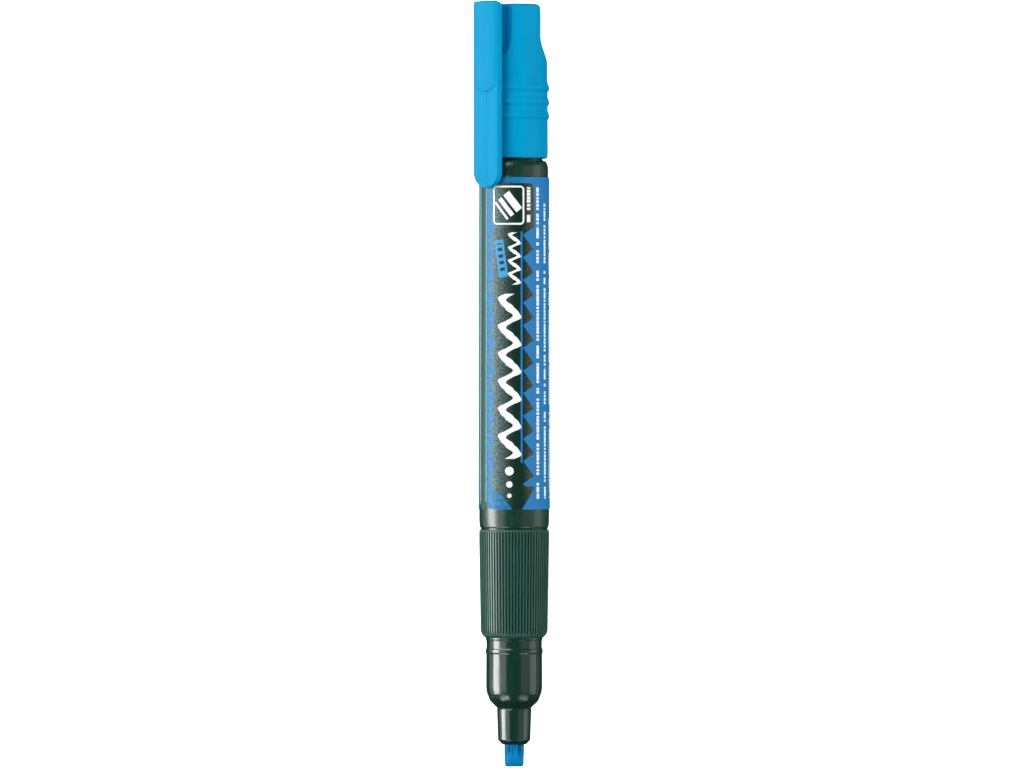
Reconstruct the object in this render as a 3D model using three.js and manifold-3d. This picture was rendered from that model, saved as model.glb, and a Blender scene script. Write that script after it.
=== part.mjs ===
// Wet-erase marker with its cap posted on the rear end, lying on its side.
// Millimetres, +Z up. The marker's axis runs along Y, nib towards -Y. The origin is on the surface that
// the marker lies on, midway along its length. Along the axis every place is given as a station:
// the distance from the nib's tip. Radii are from the marker's axis.
import * as THREE from "three";
import { mergeVertices } from "three/addons/utils/BufferGeometryUtils.js";
import Module from "manifold-3d";

const wasm = await Module();
wasm.setup();

// ---- Driving dimensions ----
const LENGTH = 150; // nib tip to the top of the clip's boss, cap posted
const SEGMENTS = 40; // facets round the axis, one of them flat on the surface below
const LABEL_R = [7.0, 6.88]; // film, at its nib end and its cap end
const FILM = 0.14;
const FILM_GAP = 0.02;
const RUNNING_GAP = 0.05; // radial clearance between fitted pieces

const NIB_R = 1.95;
const NIB_END = 24; // station of the nib's inner end
const NIB_WEDGE = 2.6; // length of the two chisel faces
const NIB_EDGE = 1.6; // thickness of the writing edge
const NIB_BORE_R = 2.1;

const NOZZLE_MOUTH = 4.4;
const CORE_R = 5.6; // front section inside the grip
const VALVE_BORE_R = 4.2;
const VALVE_SHOULDER = 44;
const INK_BORE_R = 4.95;
const FRONT_SECTION_END = 56;

const GRIP_START = 25.2;
const GRIP_END = 46.5;
const BARREL_START = 46.8;
const BARREL_END = 118.7;
const BARREL_BORE_R = 5.75;
const LABEL_START = 50.5;
const LABEL_END = 115.4;
const LABEL_SLIT = [53, 70]; // degrees left of straight up

const SPIGOT_R = 5.5;
const SPIGOT_END = 132.5;
const PLUG_START = 110;

const CAP_MOUTH = 119.2;
const CAP_TOP = 149.5;
const CAP_SKIRT_R = 6.59;
const CAP_RIDGE_R = 6.88;
const CAP_RIDGES = [127.4, 130.1, 132.9];
const CAP_R = 6.49;
const CAP_BORE_R = 5.75;
const CAP_SHOULDER = 133.7; // where the bore steps down for the seal cup
const SEAL_CUP_BORE_R = 4.35;
const SEAL_CUP_SEAT = 148.4;
const CAP_FLAT = 5.16; // distance of each thumb flat from the axis
const CAP_FLAT_SLOPE = [137, 142.3]; // stations where the flat starts to sink and reaches its depth
const FLAT_TURN = 130; // degrees from the clip to each thumb flat

const CLIP_TURN = 40; // degrees from straight up to the clip, towards -X
const CLIP_R = [7.28, 8.76]; // inner and outer face
const CLIP_WIDTH = 6.3;
const CLIP_TIP = 113.3;
const BOSS_WIDTH = 6;
const BOSS_R = 9.35;
const BOSS_START = 131.9;
const NECK_WIDTH = 3.8; // of the web that joins the boss to the cap
const CLIP_SPLIT = [139.4, 139.7]; // the flexing clip ends and the cap's own stub starts
const SLOT_FLOOR_R = 5.75;
const SLOT_TURN = 28.5; // degrees from the clip to the slot beside it
const SLOT_WIDTH = 1.7;
const SLOT_START = 139.6;

const BALL_R = 2.5;
const BALL_STATION = 59;

const DEG = Math.PI / 180;
const HALF_STEP = Math.PI / SEGMENTS;
const AXIS_HEIGHT = LABEL_R[0] * Math.cos(HALF_STEP);

// ---- Materials ----
const plastic = (color, roughness) => new THREE.MeshStandardMaterial({ color, roughness, metalness: 0 });
const steel = (color, roughness) => new THREE.MeshStandardMaterial({ color, roughness, metalness: 1 });
const greenPlastic = plastic(0x183f32, 0.3);
const gripPlastic = plastic(0x2d5144, 0.45);
const bluePlastic = plastic(0x0099d2, 0.35);
const naturalPlastic = plastic(0xe4e8e6, 0.5);
const printedFilm = plastic(0x2c81ca, 0.4);
const nibFibre = plastic(0x0082be, 0.9);
const rubber = plastic(0x222222, 0.85);
const springSteel = steel(0xb9bcc0, 0.3);
const ballSteel = steel(0xd0d3d6, 0.15);

// ---- Solids ----
function toManifold(geometry) {
  const bare = geometry.clone();
  bare.deleteAttribute("normal");
  bare.deleteAttribute("uv");
  const merged = mergeVertices(bare, 1e-4);
  const index = merged.index.array;
  const corners = [];
  for (let i = 0; i < index.length; i += 3) {
    const [a, b, c] = [index[i], index[i + 1], index[i + 2]];
    if (a !== b && b !== c && c !== a) corners.push(a, b, c);
  }
  return new wasm.Manifold(
    new wasm.Mesh({
      numProp: 3,
      vertProperties: merged.attributes.position.array,
      triVerts: new Uint32Array(corners),
    }),
  );
}

function toGeometry(solid) {
  const mesh = solid.getMesh();
  const geometry = new THREE.BufferGeometry();
  geometry.setAttribute("position", new THREE.BufferAttribute(mesh.vertProperties, 3));
  geometry.setIndex(new THREE.BufferAttribute(mesh.triVerts, 1));
  geometry.computeVertexNormals();
  return geometry;
}

// A profile is a list of [station, radius]: out along the outside towards the cap, back along the inside.
function turned(profile) {
  const points = profile.map(([station, radius]) => new THREE.Vector2(radius, station));
  return new THREE.LatheGeometry(points, SEGMENTS, HALF_STEP);
}

function ring(start, end, innerR, outerR) {
  return turned([
    [start, innerR],
    [start, outerR],
    [end, outerR],
    [end, innerR],
    [start, innerR],
  ]);
}

// Prism of a (radius, station) outline, centred on the marker's axis and `width` across.
// It stands in the upright plane; `turn` rolls it about the axis, in degrees towards -X.
function radialPrism(outline, width, turn) {
  const shape = new THREE.Shape(outline.map(([radius, station]) => new THREE.Vector2(radius, station)));
  return new THREE.ExtrudeGeometry(shape, { depth: width, bevelEnabled: false })
    .translate(0, 0, -width / 2)
    .rotateY(-Math.PI / 2 - turn * DEG);
}

// Outline with a round end: a slot or a boss seen from outside, extruded outward from `fromR` to `toR`.
function roundEnded(width, start, end, fromR, toR, turn) {
  const half = width / 2;
  const shape = new THREE.Shape();
  shape.moveTo(-half, end);
  shape.lineTo(-half, start + half);
  shape.absarc(0, start + half, half, Math.PI, 2 * Math.PI, false);
  shape.lineTo(half, end);
  shape.closePath();
  return new THREE.ExtrudeGeometry(shape, { depth: toR - fromR, bevelEnabled: false, curveSegments: 6 })
    .translate(0, 0, fromR)
    .rotateY(-turn * DEG);
}

const marker = new THREE.Group();
marker.position.set(0, -LENGTH / 2, AXIS_HEIGHT);

function addPart(name, geometry, material) {
  const mesh = new THREE.Mesh(geometry, material);
  mesh.name = name;
  marker.add(mesh);
  return mesh;
}

// ---- Nib: round rod, cut to a wedge ----
function nib() {
  const rod = turned([
    [0, 0],
    [0, 1.55],
    [0.4, 1.87],
    [NOZZLE_MOUTH, NIB_R],
    [NIB_END - 1, NIB_R],
    [NIB_END, 1.3],
    [NIB_END, 0],
  ]);
  const edge = NIB_EDGE / 2;
  const wedge = radialPrism(
    [
      [-edge, -0.1],
      [edge, -0.1],
      [NIB_R, NIB_WEDGE],
      [NIB_R + 1, NIB_WEDGE],
      [NIB_R + 1, NIB_END + 1],
      [-NIB_R - 1, NIB_END + 1],
      [-NIB_R - 1, NIB_WEDGE],
      [-NIB_R, NIB_WEDGE],
    ],
    4 * NIB_R,
    0,
  );
  return toGeometry(toManifold(rod).intersect(toManifold(wedge)));
}

// ---- Front section: nozzle, core for the grip, spigot for the barrel ----
function frontSection() {
  return turned([
    [NOZZLE_MOUTH, NIB_BORE_R],
    [NOZZLE_MOUTH, 2.45],
    [5.2, 3.1],
    [11.25, 3.3],
    [11.4, 3.2],
    [11.6, 3.4],
    [12.8, 4.67],
    [14.1, 5.17],
    [14.2, 5.29],
    [15.6, 5.52],
    [22.2, 5.48],
    [22.5, 5.6],
    [23.0, 5.6],
    [23.4, 5.44],
    [24.4, 5.44],
    [GRIP_START, CORE_R],
    [GRIP_END + 0.2, CORE_R],
    [GRIP_END + 0.2, BARREL_BORE_R - RUNNING_GAP],
    [FRONT_SECTION_END, BARREL_BORE_R - RUNNING_GAP],
    [FRONT_SECTION_END, INK_BORE_R],
    [VALVE_SHOULDER, INK_BORE_R],
    [VALVE_SHOULDER, VALVE_BORE_R],
    [16.5, VALVE_BORE_R],
    [13.5, NIB_BORE_R],
    [NOZZLE_MOUTH, NIB_BORE_R],
  ]);
}

// ---- Grip: its fine ribs stand on this outer form ----
function gripSleeve() {
  const boreR = CORE_R + RUNNING_GAP;
  return turned([
    [GRIP_START + 0.1, boreR],
    [25.6, 6.03],
    [26.0, 6.41],
    [26.6, 6.56],
    [33, 6.67],
    [41, 6.8],
    [45.4, 6.87],
    [46.3, 6.8],
    [GRIP_END, 6.6],
    [GRIP_END, boreR],
    [GRIP_START + 0.1, boreR],
  ]);
}

// ---- Barrel and its film ----
function barrel() {
  const underFilm = LABEL_R.map((r) => r - FILM - FILM_GAP);
  return turned([
    [BARREL_START, BARREL_BORE_R],
    [BARREL_START, 6.5],
    [47.9, 6.85],
    [LABEL_START - 0.2, 6.85],
    [LABEL_START, underFilm[0]],
    [LABEL_END, underFilm[1]],
    [LABEL_END + 0.2, 6.67],
    [117.5, 6.67],
    [118.3, 6.45],
    [BARREL_END, 6.08],
    [BARREL_END, BARREL_BORE_R],
    [BARREL_START, BARREL_BORE_R],
  ]);
}

function labelWrap() {
  const film = turned([
    [LABEL_START, LABEL_R[0] - FILM],
    [LABEL_START, LABEL_R[0]],
    [LABEL_END, LABEL_R[1]],
    [LABEL_END, LABEL_R[1] - FILM],
    [LABEL_START, LABEL_R[0] - FILM],
  ]);
  const reach = 2 * LABEL_R[0];
  const slit = new THREE.Shape([new THREE.Vector2(0, 0), ...LABEL_SLIT.map((turn) => pointAtTurn(turn, reach))]);
  const cutter = new THREE.ExtrudeGeometry(slit, { depth: LENGTH, bevelEnabled: false }).rotateX(-Math.PI / 2);
  return toGeometry(toManifold(film).subtract(toManifold(cutter)));
}

// A point of the cross-section, seen from the cap end, before the prism is laid along the marker's axis.
function pointAtTurn(turn, radius) {
  return new THREE.Vector2(-radius * Math.sin(turn * DEG), -radius * Math.cos(turn * DEG));
}

function tailPlug() {
  const plugR = BARREL_BORE_R - RUNNING_GAP;
  return turned([
    [PLUG_START, 4.5],
    [PLUG_START, plugR],
    [BARREL_END + 0.2, plugR],
    [BARREL_END + 0.2, SPIGOT_R],
    [121, SPIGOT_R],
    [121.5, 5.59],
    [122, SPIGOT_R],
    [SPIGOT_END - 1, SPIGOT_R],
    [SPIGOT_END, SPIGOT_R - 0.8],
    [SPIGOT_END, 0],
    [SPIGOT_END - 1.2, 0],
    [SPIGOT_END - 1.2, 4.5],
    [PLUG_START, 4.5],
  ]);
}

// ---- Valve ----
const SEAT_START = 30;
const HOUSING_END = 45;
const HOUSING_BORE_R = 3.3;
const SEAL_START = 31.3;
const SEAL_END = 32.3;
const HEAD_START = 32.35;
const HEAD_END = 34.2;
const RETAINER_START = 43.4;

function valveHousing() {
  return turned([
    [SEAT_START, 1.9],
    [SEAT_START, 4.0],
    [SEAT_START + 0.4, VALVE_BORE_R - RUNNING_GAP],
    [VALVE_SHOULDER + 0.05, VALVE_BORE_R - RUNNING_GAP],
    [VALVE_SHOULDER + 0.05, INK_BORE_R - RUNNING_GAP],
    [HOUSING_END, INK_BORE_R - RUNNING_GAP],
    [HOUSING_END, HOUSING_BORE_R],
    [SEAL_START - 0.05, HOUSING_BORE_R],
    [SEAL_START - 0.05, 1.9],
    [SEAT_START, 1.9],
  ]);
}

function valveStem() {
  return turned([
    [NIB_END + 0.05, 0],
    [NIB_END + 0.05, 1.7],
    [NIB_END + 0.85, 1.7],
    [NIB_END + 1.2, 1.1],
    [HEAD_START, 1.1],
    [HEAD_START, 2.7],
    [HEAD_START + 0.9, 2.7],
    [HEAD_END, 1.6],
    [HEAD_END, 0.9],
    [38, 0.9],
    [38.6, 0.4],
    [38.6, 0],
  ]);
}

function springRetainer() {
  const outerR = HOUSING_BORE_R - RUNNING_GAP;
  return turned([
    [RETAINER_START, 1.4],
    [RETAINER_START, outerR],
    [HOUSING_END, outerR],
    [HOUSING_END, 1.4],
    [RETAINER_START, 1.4],
  ]);
}

class Helix extends THREE.Curve {
  constructor(radius, start, end, turns) {
    super();
    Object.assign(this, { radius, start, end, turns });
  }
  getPoint(t, target = new THREE.Vector3()) {
    const angle = 2 * Math.PI * this.turns * t;
    const station = this.start + (this.end - this.start) * t;
    return target.set(this.radius * Math.sin(angle), station, this.radius * Math.cos(angle));
  }
}

function valveSpring() {
  const wireR = 0.2;
  const wire = new THREE.Shape().absarc(0, 0, wireR, 0, 2 * Math.PI, false);
  const path = new Helix(2.2, HEAD_END + wireR + 0.1, RETAINER_START - wireR - 0.1, 7);
  return new THREE.ExtrudeGeometry(wire, { steps: 84, curveSegments: 4, extrudePath: path });
}

// ---- Cap ----
function capBody() {
  const ridges = CAP_RIDGES.flatMap((crest) => [
    [crest - 0.8, CAP_SKIRT_R],
    [crest - 0.25, CAP_RIDGE_R],
    [crest + 0.25, CAP_RIDGE_R],
    [crest + 1.2, CAP_SKIRT_R],
  ]);
  return turned([
    [CAP_MOUTH, CAP_BORE_R + 0.2],
    [CAP_MOUTH, CAP_SKIRT_R - 0.3],
    [CAP_MOUTH + 0.4, CAP_SKIRT_R],
    ...ridges,
    [134.6, CAP_R],
    [CAP_TOP - 1, CAP_R],
    [CAP_TOP - 0.3, CAP_R - 0.3],
    [CAP_TOP, CAP_R - 1],
    [CAP_TOP, 0],
    [SEAL_CUP_SEAT, 0],
    [SEAL_CUP_SEAT, SEAL_CUP_BORE_R],
    [CAP_SHOULDER, SEAL_CUP_BORE_R],
    [CAP_SHOULDER, CAP_BORE_R],
    [CAP_MOUTH + 0.3, CAP_BORE_R],
    [CAP_MOUTH, CAP_BORE_R + 0.2],
  ]);
}

// What is cut away outside a thumb flat: the edge sinks along an S-curve to the flat's depth.
function flatCutter(turn) {
  const [start, end] = CAP_FLAT_SLOPE;
  const steps = 6;
  const slope = [];
  for (let i = 0; i <= steps; i++) {
    const ease = (1 - Math.cos((Math.PI * i) / steps)) / 2;
    slope.push([CAP_R + 0.05 + (CAP_FLAT - CAP_R - 0.05) * ease, start + ((end - start) * i) / steps]);
  }
  const outline = [[2 * CAP_R, start], ...slope, [CAP_FLAT, CAP_TOP + 1], [2 * CAP_R, CAP_TOP + 1]];
  return radialPrism(outline, 3 * CAP_R, turn);
}

function capShell() {
  let solid = toManifold(capBody());
  for (const side of [-1, 1]) {
    const slotTurn = CLIP_TURN + side * SLOT_TURN;
    solid = solid.subtract(toManifold(flatCutter(CLIP_TURN + side * FLAT_TURN)));
    solid = solid.subtract(
      toManifold(roundEnded(SLOT_WIDTH, SLOT_START, CAP_TOP + 1, SLOT_FLOOR_R, 2 * CAP_R, slotTurn)),
    );
  }
  return toGeometry(solid.add(bossStub()));
}

// The fixed end of the clip: a narrow neck on the cap, the clip's own section above it, and the boss on top.
function bossStub() {
  const start = CLIP_SPLIT[1];
  const layers = [
    [CAP_R - 0.9, CLIP_R[0] + 0.1, NECK_WIDTH, LENGTH],
    [CLIP_R[0], CLIP_R[1] - 0.3, CLIP_WIDTH, LENGTH],
    [CLIP_R[1] - 0.4, BOSS_R, BOSS_WIDTH, LENGTH - 0.4],
  ];
  const solids = layers.map(([inner, outer, width, end]) => {
    const outline = [
      [inner, start],
      [outer, start],
      [outer, end],
      [inner, end],
    ];
    return toManifold(radialPrism(outline, width, CLIP_TURN));
  });
  return solids[0].add(solids[1]).add(solids[2]);
}

function innerCap() {
  const outerR = SEAL_CUP_BORE_R - RUNNING_GAP;
  return turned([
    [CAP_SHOULDER + 0.1, 3.75],
    [CAP_SHOULDER + 0.1, outerR],
    [SEAL_CUP_SEAT - 0.1, outerR],
    [SEAL_CUP_SEAT - 0.1, 0],
    [SEAL_CUP_SEAT - 0.8, 0],
    [SEAL_CUP_SEAT - 0.8, 3.5],
    [CAP_SHOULDER + 0.6, 3.5],
    [CAP_SHOULDER + 0.1, 3.75],
  ]);
}

function clip() {
  const [innerR, outerR] = CLIP_R;
  const arm = toManifold(roundEnded(CLIP_WIDTH, CLIP_TIP, CLIP_SPLIT[0], innerR, outerR, CLIP_TURN));
  const boss = toManifold(roundEnded(BOSS_WIDTH, BOSS_START, CLIP_SPLIT[0], outerR - 0.5, BOSS_R, CLIP_TURN));
  return toGeometry(arm.add(boss));
}

addPart("nib", nib(), nibFibre);
addPart("front_section", frontSection(), greenPlastic);
addPart("grip_sleeve", gripSleeve(), gripPlastic);
addPart("barrel", barrel(), greenPlastic);
addPart("label_wrap", labelWrap(), printedFilm);
addPart("tail_plug", tailPlug(), greenPlastic);
addPart("valve_housing", valveHousing(), naturalPlastic);
addPart("valve_seal", ring(SEAL_START, SEAL_END, 1.9, HOUSING_BORE_R - 0.1), rubber);
addPart("valve_stem", valveStem(), naturalPlastic);
addPart("valve_spring", valveSpring(), springSteel);
addPart("spring_retainer", springRetainer(), naturalPlastic);
const ball = addPart("mixing_ball", new THREE.IcosahedronGeometry(BALL_R, 3), ballSteel);
ball.position.set(0, BALL_STATION, BALL_R - BARREL_BORE_R + 0.1);
addPart("cap_shell", capShell(), bluePlastic);
addPart("inner_cap", innerCap(), naturalPlastic);
addPart("clip", clip(), bluePlastic);

export default marker;
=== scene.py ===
"""Wet-erase marker, cap posted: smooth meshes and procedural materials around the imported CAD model."""
import math

import bmesh
import bpy
import numpy as np
from mathutils import Matrix, Vector


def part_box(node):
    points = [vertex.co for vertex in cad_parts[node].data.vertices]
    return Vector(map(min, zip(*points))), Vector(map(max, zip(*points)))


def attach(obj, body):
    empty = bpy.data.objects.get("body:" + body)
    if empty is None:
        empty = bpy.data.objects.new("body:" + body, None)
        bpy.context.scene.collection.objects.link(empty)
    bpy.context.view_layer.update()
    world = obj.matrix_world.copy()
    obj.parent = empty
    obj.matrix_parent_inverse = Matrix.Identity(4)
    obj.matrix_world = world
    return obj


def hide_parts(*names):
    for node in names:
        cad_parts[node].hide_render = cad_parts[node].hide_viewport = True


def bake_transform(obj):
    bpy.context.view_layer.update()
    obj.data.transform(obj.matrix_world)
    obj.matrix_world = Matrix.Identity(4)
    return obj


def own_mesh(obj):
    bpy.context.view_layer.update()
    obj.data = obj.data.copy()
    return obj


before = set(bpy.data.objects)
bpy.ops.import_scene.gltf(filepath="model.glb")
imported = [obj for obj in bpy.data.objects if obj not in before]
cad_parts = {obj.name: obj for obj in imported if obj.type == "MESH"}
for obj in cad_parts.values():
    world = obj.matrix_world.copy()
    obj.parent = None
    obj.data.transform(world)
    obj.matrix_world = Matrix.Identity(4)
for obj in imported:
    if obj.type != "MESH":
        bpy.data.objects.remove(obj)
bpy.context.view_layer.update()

MM = 0.001
BARREL_LO, BARREL_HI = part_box("barrel")
AXIS_X = (BARREL_LO.x + BARREL_HI.x) / 2
AXIS_Z = (BARREL_LO.z + BARREL_HI.z) / 2
TIP_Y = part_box("nib")[0].y


def station_of(y):
    """Distance from the nib's tip along the marker, in mm."""
    return (y - TIP_Y) / MM


def ends_of(node):
    lo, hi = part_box(node)
    return station_of(lo.y), station_of(hi.y)


# ---------------------------------------------------------------- meshes
# Sizes are in mm: station from the nib's tip and radius from the axis. Turns are in degrees, +Z towards -X.
def placed(station, radius, turn):
    station, radius, turn = np.broadcast_arrays(station, radius, np.radians(turn))
    return np.stack(
        [
            AXIS_X - MM * radius * np.sin(turn),
            TIP_Y + MM * station,
            AXIS_Z + MM * radius * np.cos(turn),
        ],
        axis=-1,
    )


def rounded(profile, bevel, closed):
    """The profile with a small curve at each corner. A point's third value, if any, is its own bevel."""
    points = [tuple(p) for p in profile]
    if closed:
        points = points[:-1]
    made = []
    for i, point in enumerate(points):
        here = np.array(point[:2], float)
        size = point[2] if len(point) > 2 else bevel
        at_end = not closed and i in (0, len(points) - 1)
        if at_end or size <= 0:
            made.append(here)
            continue
        before = np.array(points[i - 1][:2], float) - here
        after = np.array(points[(i + 1) % len(points)][:2], float) - here
        reach = min(size, 0.45 * np.linalg.norm(before), 0.45 * np.linalg.norm(after))
        start = here + before / np.linalg.norm(before) * reach
        end = here + after / np.linalg.norm(after) * reach
        for t in np.linspace(0, 1, 5):
            made.append((1 - t) ** 2 * start + 2 * t * (1 - t) * here + t**2 * end)
    if closed:
        made.append(made[0])
    return np.array(made)


def subdivided(outline, step):
    made = [outline[0]]
    for a, b in zip(outline[:-1], outline[1:]):
        parts = max(1, math.ceil(np.linalg.norm(b - a) / step))
        made += [a + (b - a) * k / parts for k in range(1, parts + 1)]
    return np.array(made)


def grid_mesh(name, points, around=True, sharp=35, uv=None):
    """Quads over an array of rows and columns of points. Rows and columns that meet are merged."""
    rows, columns = points.shape[:2]
    mesh = bpy.data.meshes.new(name)
    row = np.arange(rows - 1)[:, None]
    column = np.arange(columns if around else columns - 1)[None, :]
    nxt = (column + 1) % columns
    quads = np.stack(
        [
            row * columns + column,
            (row + 1) * columns + column,
            (row + 1) * columns + nxt,
            row * columns + nxt,
        ],
        axis=-1,
    ).reshape(-1, 4)
    mesh.from_pydata(points.reshape(-1, 3).tolist(), [], quads.tolist())
    if uv is not None:
        layer = mesh.uv_layers.new(name="print")
        layer.data.foreach_set("uv", uv.reshape(-1, 2)[quads.ravel()].astype(np.float32).ravel())
    bm = bmesh.new()
    bm.from_mesh(mesh)
    bmesh.ops.remove_doubles(bm, verts=bm.verts, dist=0.0002 * MM)
    for face in bm.faces:
        face.smooth = True
    limit = math.radians(sharp)
    for edge in bm.edges:
        edge.smooth = edge.calc_face_angle(0.0) < limit
    bm.to_mesh(mesh)
    bm.free()
    piece = bpy.data.objects.new(name, mesh)
    bpy.context.scene.collection.objects.link(piece)
    return piece


def capped(points):
    """The rows of points with each open end drawn together to its middle."""
    ends = [np.broadcast_to(points[k].mean(axis=0), points[k].shape)[None] for k in (0, -1)]
    return np.concatenate([ends[0], points, ends[1]])


def lathe(name, profile, columns=128, bevel=0.08, step=None, relief=None):
    """A turned piece. relief(station, radius, turn) gives the radius where the form isn't round."""
    closed = tuple(profile[0][:2]) == tuple(profile[-1][:2])
    outline = rounded(profile, bevel, closed)
    if step:
        outline = subdivided(outline, step)
    station, radius = outline[:, :1], outline[:, 1:2]
    turn = np.linspace(0, 360, columns, endpoint=False)[None, :]
    if relief:
        radius = relief(station, radius, turn)
    return grid_mesh(name, placed(station, radius, turn))


def smoothstep(low, high, x):
    t = np.clip((x - low) / (high - low), 0, 1)
    return t * t * (3 - 2 * t)


# ---------------------------------------------------------------- materials
def linear(r, g, b):
    """An sRGB colour of 0 to 255 as a linear RGBA."""
    channel = [((c / 255 + 0.055) / 1.055) ** 2.4 if c > 10 else c / 255 / 12.92 for c in (r, g, b)]
    return (*channel, 1.0)


class Paint:
    """A material with one Principled shader. A method that adds a node gives its output back."""

    def __init__(self, name, roughness=0.4, specular=0.5, metallic=0.0):
        self.material = bpy.data.materials.new(name)
        self.material.use_nodes = True
        self.tree = self.material.node_tree
        self.shader = self.tree.nodes["Principled BSDF"]
        self.shader.inputs["Roughness"].default_value = roughness
        self.shader.inputs["Specular IOR Level"].default_value = specular
        self.shader.inputs["Metallic"].default_value = metallic

    def put(self, socket, value):
        if isinstance(value, bpy.types.NodeSocket):
            self.tree.links.new(value, socket)
        else:
            socket.default_value = value

    def math(self, operation, a, b=0.0):
        node = self.tree.nodes.new("ShaderNodeMath")
        node.operation = operation
        self.put(node.inputs[0], a)
        self.put(node.inputs[1], b)
        return node.outputs[0]

    def ramp(self, x, low, high, to_low=0.0, to_high=1.0):
        """Smooth change from to_low at low to to_high at high."""
        node = self.tree.nodes.new("ShaderNodeMapRange")
        node.interpolation_type = "SMOOTHSTEP"
        for socket, value in zip(node.inputs, (x, low, high, to_low, to_high)):
            self.put(socket, value)
        return node.outputs[0]

    def mix(self, share, a, b):
        node = self.tree.nodes.new("ShaderNodeMix")
        node.data_type = "RGBA"
        self.put(node.inputs[0], share)
        self.put(node.inputs[6], a)
        self.put(node.inputs[7], b)
        return node.outputs[2]

    def split(self, vector):
        node = self.tree.nodes.new("ShaderNodeSeparateXYZ")
        self.put(node.inputs[0], vector)
        return tuple(node.outputs)

    def place(self, stretch=(1, 1, 1)):
        """The point in the object's own frame, in mm, stretched along each axis."""
        where = self.tree.nodes.new("ShaderNodeTexCoord").outputs["Object"]
        node = self.tree.nodes.new("ShaderNodeVectorMath")
        node.operation = "MULTIPLY"
        self.put(node.inputs[0], where)
        node.inputs[1].default_value = [s / MM for s in stretch]
        return node.outputs[0]

    def noise(self, where, scale, detail=3.0, roughness=0.5):
        node = self.tree.nodes.new("ShaderNodeTexNoise")
        self.put(node.inputs["Vector"], where)
        node.inputs["Scale"].default_value = scale
        node.inputs["Detail"].default_value = detail
        node.inputs["Roughness"].default_value = roughness
        return node.outputs["Fac"]

    def bump(self, height, depth_mm, strength):
        node = self.tree.nodes.new("ShaderNodeBump")
        node.inputs["Strength"].default_value = strength
        node.inputs["Distance"].default_value = depth_mm * MM
        self.put(node.inputs["Height"], height)
        self.put(self.shader.inputs["Normal"], node.outputs[0])

    def colour(self, value):
        self.put(self.shader.inputs["Base Color"], value)

    def rough(self, value):
        self.put(self.shader.inputs["Roughness"], value)


def shaded(colour, factor):
    """The linear colour made darker or lighter."""
    return tuple(factor * c for c in colour[:3]) + (1.0,)


def moulded(name, srgb, roughness, grain_mm=0.35, depth_mm=0.004, specular=0.5):
    """Injection-moulded plastic with faint flow in its colour, a fine skin and slightly uneven gloss."""
    paint = Paint(name, specular=specular)
    flow = paint.noise(paint.place((1, 0.25, 1)), 0.35, 4.0)
    skin = paint.noise(paint.place(), 1 / grain_mm, 2.0)
    wear = paint.noise(paint.place((1, 0.4, 1)), 1.1, 3.0, 0.5)
    base = linear(*srgb)
    paint.colour(paint.mix(paint.ramp(flow, 0.3, 0.7), shaded(base, 0.96), shaded(base, 1.03)))
    paint.rough(paint.ramp(wear, 0.35, 0.75, roughness - 0.03, roughness + 0.07))
    paint.bump(skin, depth_mm, 0.35)
    return paint.material


def metal(name, srgb, roughness, stretch):
    """Bare metal with marks that run along the stretched axes."""
    paint = Paint(name, metallic=1.0)
    drawn = paint.noise(paint.place(stretch), 6.0, 3.0)
    base = linear(*srgb)
    paint.colour(paint.mix(drawn, shaded(base, 0.8), base))
    paint.rough(paint.ramp(drawn, 0.3, 0.7, roughness, roughness + 0.15))
    paint.bump(drawn, 0.003, 0.3)
    return paint.material


def nib_fibre():
    """Bonded fibres soaked with pigment, with fine streaks, made darker towards the nozzle's mouth as
    painted shade under its edge.
    """
    paint = Paint("nib_fibre", specular=0.04)
    fine = paint.noise(paint.place((1, 0.06, 1)), 7.0, 3.0, 0.6)
    clumps = paint.noise(paint.place((1, 0.12, 1)), 1.6, 2.0)
    thin = paint.ramp(fine, 0.42, 0.58, 0, 0.7)
    streaks = paint.math("ADD", thin, paint.ramp(clumps, 0.45, 0.6, 0, 0.45))
    station = paint.math("SUBTRACT", paint.split(paint.place())[1], TIP_Y / MM)
    # The streaks grow stronger towards the mouth: painted shade under the nozzle's edge.
    streaks = paint.math("MULTIPLY", streaks, paint.ramp(station, 1.2, 3.8, 0.25, 1.0))
    paint.colour(paint.mix(streaks, linear(0, 146, 212), linear(0, 66, 116)))
    paint.rough(paint.ramp(fine, 0.3, 0.7, 0.6, 0.9))
    paint.bump(fine, 0.05, 0.9)
    return paint.material


GREEN = moulded("green_gloss_plastic", (14, 52, 41), 0.17, depth_mm=0.001)
GREEN_SATIN = moulded("green_barrel_plastic", (16, 58, 44), 0.26, depth_mm=0.002, specular=0.42)
BLUE = moulded("blue_cap_plastic", (0, 156, 207), 0.48, depth_mm=0.005, specular=0.025)
NATURAL = moulded("natural_plastic", (226, 230, 227), 0.45)
RUBBER = moulded("seal_rubber", (34, 34, 35), 0.7, grain_mm=0.15, depth_mm=0.02)
WIRE = metal("spring_wire", (190, 190, 195), 0.22, (1, 1, 1))
BALL = metal("ball_steel", (212, 213, 216), 0.08, (0.4, 0.4, 0.4))
# Clear film over the green barrel, painted a lighter green than the barrel: partly painted light on the
# side that faces the lamps.
LIT_FILM_MARGIN = moulded("clear_film_margin_painted_light", (44, 92, 74), 0.4, depth_mm=0.002, specular=0.2)
NIB = nib_fibre()


def dressed(piece, material, body, slot, *nodes):
    """Gives a finished piece its material and its body, and hides the CAD nodes it stands for. The slot is
    not used.
    """
    piece.data.materials.append(material)
    if body:
        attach(piece, body)
    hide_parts(*nodes)


# ---------------------------------------------------------------- nib
NIB_R = 1.95
NIB_EDGE_R = 1.86  # half the writing edge's width
NIB_WEDGE = 2.6  # length of the chisel faces
NIB_EDGE = 0.8  # half the writing edge's thickness
NIB_CORNER = 0.6  # rounding round the writing edge
NIB_SOFT = 8  # a lower number rounds the chisel faces more into the rod
NIB_TAIL = (1.0, 0.55)  # length and depth of the rod's rounded inner end


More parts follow.
